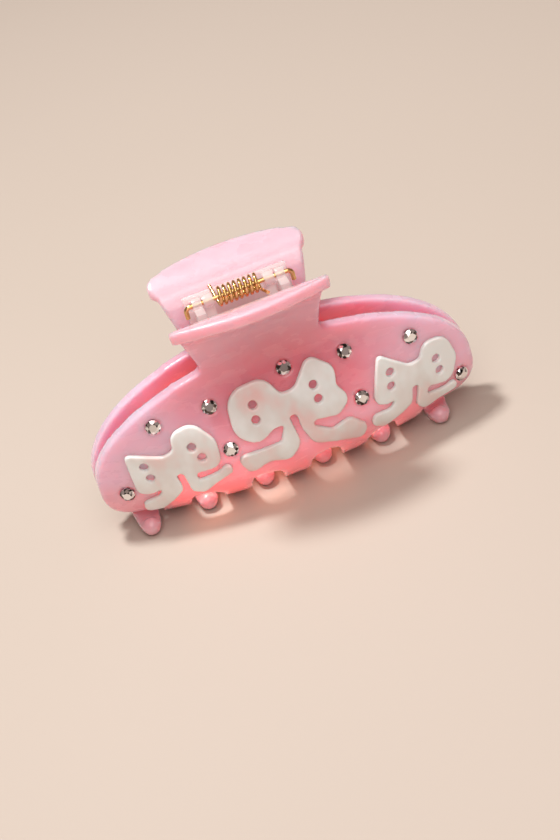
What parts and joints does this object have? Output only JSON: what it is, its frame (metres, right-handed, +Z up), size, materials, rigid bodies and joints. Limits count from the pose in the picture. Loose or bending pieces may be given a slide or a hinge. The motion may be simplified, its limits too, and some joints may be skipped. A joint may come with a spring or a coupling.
{
  "type": "hair claw clip",
  "caption": "Spring hair claw: two curved acetate jaws with interlocking teeth, flared finger handles, raised bows and rhinestones, on a clear hinge.",
  "frame": {"origin": "middle of the plane that the tooth tips stand on, under the hinge pin", "axes": "X along the clip, -Y towards the front jaw, +Z up to the finger handles"},
  "size_m": [0.1036, 0.0376, 0.06],
  "materials": {
    "pink_acetate": "polished translucent cellulose acetate, pearly pink",
    "clear_plastic": "clear moulded plastic",
    "pearl_bow": "pearl white, satin",
    "rhinestone": "foiled faceted glass",
    "gold_wire": "bright gold-coloured wire"
  },
  "bodies": {
    "rear": {"rear_jaw": "pink_acetate", "rear_hinge_leaf": "clear_plastic", "hinge_pin": "gold_wire", "torsion_spring": "gold_wire", "rear_bow_left": "pearl_bow", "rear_bow_centre": "pearl_bow", "rear_bow_right": "pearl_bow", "rear_rhinestone_1": "rhinestone", "rear_rhinestone_2": "rhinestone", "rear_rhinestone_3": "rhinestone", "rear_rhinestone_4": "rhinestone", "rear_rhinestone_5": "rhinestone", "rear_rhinestone_6": "rhinestone", "rear_rhinestone_7": "rhinestone", "rear_rhinestone_8": "rhinestone", "rear_rhinestone_9": "rhinestone"},
    "front": {"front_jaw": "pink_acetate", "front_hinge_leaf": "clear_plastic", "front_bow_left": "pearl_bow", "front_bow_centre": "pearl_bow", "front_bow_right": "pearl_bow", "front_rhinestone_1": "rhinestone", "front_rhinestone_2": "rhinestone", "front_rhinestone_3": "rhinestone", "front_rhinestone_4": "rhinestone", "front_rhinestone_5": "rhinestone", "front_rhinestone_6": "rhinestone", "front_rhinestone_7": "rhinestone", "front_rhinestone_8": "rhinestone", "front_rhinestone_9": "rhinestone"}
  },
  "joints": [
    {"name": "jaw_hinge", "type": "hinge", "parent": "rear", "child": "front", "pos_m": [-0.0012, 0, 0.056], "axis": [-1, 0, 0], "range_deg": [0, 60], "stiffness_Nm_per_rad": 0.06, "springref_deg": -57.3, "deforming": ["torsion_spring"]}
  ]
}
